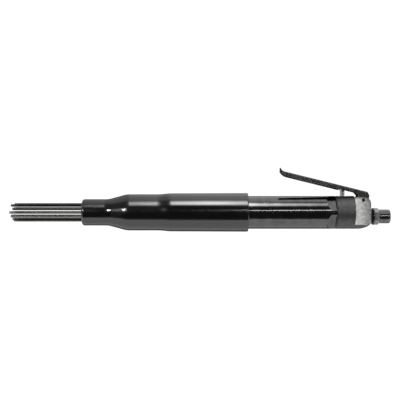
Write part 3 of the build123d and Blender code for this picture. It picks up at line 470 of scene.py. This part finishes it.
def lever_finish():
    """Blackened pressed sheet, satin, duller in patches."""
    material, tree, shader, place = start_finish("blackened_lever", (0.05, 0.05, 0.052), 1.0, 0.28)
    dull = grain(tree, place, 5 * MM, 5)
    rolled = grain(tree, stretched(tree, place, (0.05, 1, 0.3)), 0.4 * MM, 3)
    tint(tree, shader, dull, (0.05, 0.05, 0.051), (0.10, 0.10, 0.101))
    roughen(tree, shader, dull, 0.2, 0.36)
    emboss(tree, shader, (dull, 0.012 * MM), (rolled, 0.004 * MM))
    return material


def thread_ridge(tree, along, across, up):
    """The pipe thread inside the inlet: a ridge that winds round the inlet's own axis."""
    up = math_node(tree, "SUBTRACT", up, INLET_Z)
    within = math_node(tree, "LESS_THAN", distance(tree, across, up), THREAD_R)
    inside = math_node(
        tree, "MULTIPLY", within, math_node(tree, "GREATER_THAN", along, INLET_HIGH[0] - THREAD_IN))
    turns = math_node(tree, "MULTIPLY", math_node(tree, "ARCTAN2", up, across), 1 / (2 * pi))
    winding = math_node(tree, "MULTIPLY_ADD", along, 1 / THREAD_PITCH, turns)
    return math_node(tree, "MULTIPLY", math_node(tree, "PINGPONG", winding, 0.5), inside)


def inlet_finish():
    """Phosphated steel: a dull hexagon, an oily collar before it and a turned cylinder behind."""
    material, tree, shader, place = start_finish("phosphated_inlet", (0.16, 0.16, 0.16), 1.0, 0.35)
    along, across, up = split_axes(tree, place)
    hexagon = INLET_HIGH[0] - HEXAGON_IN
    cylinder = INLET_HIGH[0] - CYLINDER_IN
    body = spread(tree, along, hexagon, hexagon + FINISH_EDGE)
    turned = spread(tree, along, cylinder, cylinder + FINISH_EDGE)
    fine = grain(tree, place, 0.22 * MM, 4, 0.65)
    patch = grain(tree, place, 3 * MM, 5)
    rings = grain(tree, stretched(tree, place, RINGS), 0.3 * MM, 3, 0.7)
    tone = math_node(tree, "SUBTRACT", math_node(tree, "MULTIPLY", patch, body),
                     math_node(tree, "MULTIPLY", turned, 0.32))
    tint(tree, shader, tone, (0.06, 0.06, 0.06), (0.25, 0.248, 0.243), 0.0, 0.6)
    roughness = math_node(tree, "SUBTRACT", spread(tree, body, 0, 1, 0.13, 0.34),
                          math_node(tree, "MULTIPLY", turned, 0.18))
    tree.links.new(roughness, shader.inputs["Roughness"])
    emboss(tree, shader, (thread_ridge(tree, along, across, up), THREAD_RELIEF),
           (math_node(tree, "MULTIPLY", fine, body), 0.02 * MM), (rings, 0.005 * MM))
    return material


def make_finishes():
    """One finish for each material slot of the model."""
    return {
        "gloss_black_steel": front_tube_finish(),
        "satin_black_steel": barrel_finish(),
        "needle_steel": needle_finish(),
        "spring_steel": turned_finish("oiled_spring_wire", (0.24, 0.24, 0.245), 0.3),
        "hardened_steel": turned_finish("hardened_ground_steel", (0.42, 0.42, 0.43), 0.22),
        "bronze": turned_finish("turned_bronze", (0.55, 0.38, 0.17), 0.3),
        "cushion_rubber": rubber_finish("amber_cushion", (0.42, 0.17, 0.04)),
        "seal_rubber": rubber_finish("black_seal_rubber", (0.012, 0.012, 0.013)),
        "valve_steel": turned_finish("lapped_valve_steel", (0.46, 0.46, 0.47), 0.18),
        "cast_housing": housing_finish(),
        "blackened_plug": turned_finish("blackened_plug_steel", (0.07, 0.07, 0.07), 0.34, axis=2),
        "pin_steel": turned_finish("blackened_pin_steel", (0.06, 0.06, 0.06), 0.4, axis=1),
        "black_lever": lever_finish(),
        "bright_steel": turned_finish("ground_stem_steel", (0.70, 0.70, 0.71), 0.16, axis=2),
        "valve_brass": turned_finish("turned_valve_brass", (0.60, 0.45, 0.20), 0.26, axis=2),
        "inlet_steel": inlet_finish(),
        "screen_steel": turned_finish("perforated_screen_steel", (0.5, 0.5, 0.5), 0.3),
    }


def give_finishes(finishes):
    """Puts each CAD node's finish in its material slots."""
    slots = {part["node"]: part["material_slot"] for part in frame["record"]["subparts"]}
    for node, piece in frame["nodes"].items():
        materials = piece.data.materials
        if len(materials) == 0:
            materials.append(None)
        for index in range(len(materials)):
            materials[index] = finishes[slots[node]]


# ------------------------------------------------------------------ coil springs
def coil_spring(name, wire, radius, rise, turns, start, axis):
    """A helical spring: a ring of wire, screwed round its axis. start is the centre of its fixed end."""
    bpy.ops.object.select_all(action="DESELECT")
    bpy.ops.mesh.primitive_circle_add(vertices=WIRE_SIDES, radius=wire / 2, fill_type="NGON")
    spring = bpy.context.object
    spring.name = name
    bpy.ops.object.mode_set(mode="EDIT")
    bpy.ops.mesh.select_all(action="SELECT")
    bpy.ops.mesh.delete(type="ONLY_FACE")
    bpy.ops.mesh.select_all(action="SELECT")
    bpy.ops.transform.rotate(value=pi / 2, orient_axis="X", center_override=(0, 0, 0))
    bpy.ops.transform.translate(value=(radius, 0, 0))
    bpy.ops.object.mode_set(mode="OBJECT")
    screw = spring.modifiers.new("helix", "SCREW")
    screw.angle = 2 * pi * turns
    screw.screw_offset = rise
    screw.steps = screw.render_steps = int(STEPS_PER_TURN * turns)
    screw.use_merge_vertices = False
    bpy.ops.object.modifier_apply(modifier="helix")
    # close the two ends of the wire, and turn its faces outwards
    bpy.ops.object.mode_set(mode="EDIT")
    bpy.ops.mesh.select_all(action="SELECT")
    bpy.ops.mesh.remove_doubles(threshold=WELD)
    bpy.ops.mesh.select_non_manifold()
    bpy.ops.mesh.edge_face_add()
    bpy.ops.mesh.select_all(action="SELECT")
    bpy.ops.mesh.normals_make_consistent(inside=False)
    bpy.ops.object.mode_set(mode="OBJECT")
    if axis == "X":
        spring.rotation_euler = (0, pi / 2, 0)
    spring.location = start
    bpy.ops.object.transform_apply(location=True, rotation=True, scale=True)
    bpy.ops.object.shade_smooth_by_angle(angle=radians(SMOOTH_UNDER))
    return spring


def make_springs(finishes):
    """The needle holder's return spring and the throttle valve's spring, in place of the CAD coils."""
    low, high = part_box("needle_spring")
    wire = HOLDER_SPRING_WIRE
    end = END_COIL * wire
    spring = coil_spring(
        "holder_return_spring", wire, radius=(high[1] - low[1] - wire) / 2, rise=high[0] - low[0] - 2 * end,
        turns=HOLDER_SPRING_TURNS, start=(low[0] + end, 0, 0), axis="X")
    spring.data.materials.append(finishes["spring_steel"])
    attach(spring, "tool")
    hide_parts("needle_spring")
    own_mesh(spring)

    low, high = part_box("valve_spring")
    wire = VALVE_SPRING_WIRE
    end = END_COIL * wire
    centre_x = (low[0] + high[0]) / 2
    spring = coil_spring(
        "throttle_return_spring", wire, radius=(high[1] - low[1] - wire) / 2, rise=high[2] - low[2] - 2 * end,
        turns=VALVE_SPRING_TURNS, start=(centre_x, 0, low[2] + end), axis="Z")
    spring.data.materials.append(finishes["spring_steel"])
    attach(spring, "tool")
    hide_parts("valve_spring")
    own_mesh(spring)


# ------------------------------------------------------------------ build
place_camera()
light_studio()
lay_floor()
finishes = make_finishes()
give_finishes(finishes)
make_springs(finishes)
bpy.context.scene.view_settings.view_transform = "Standard"
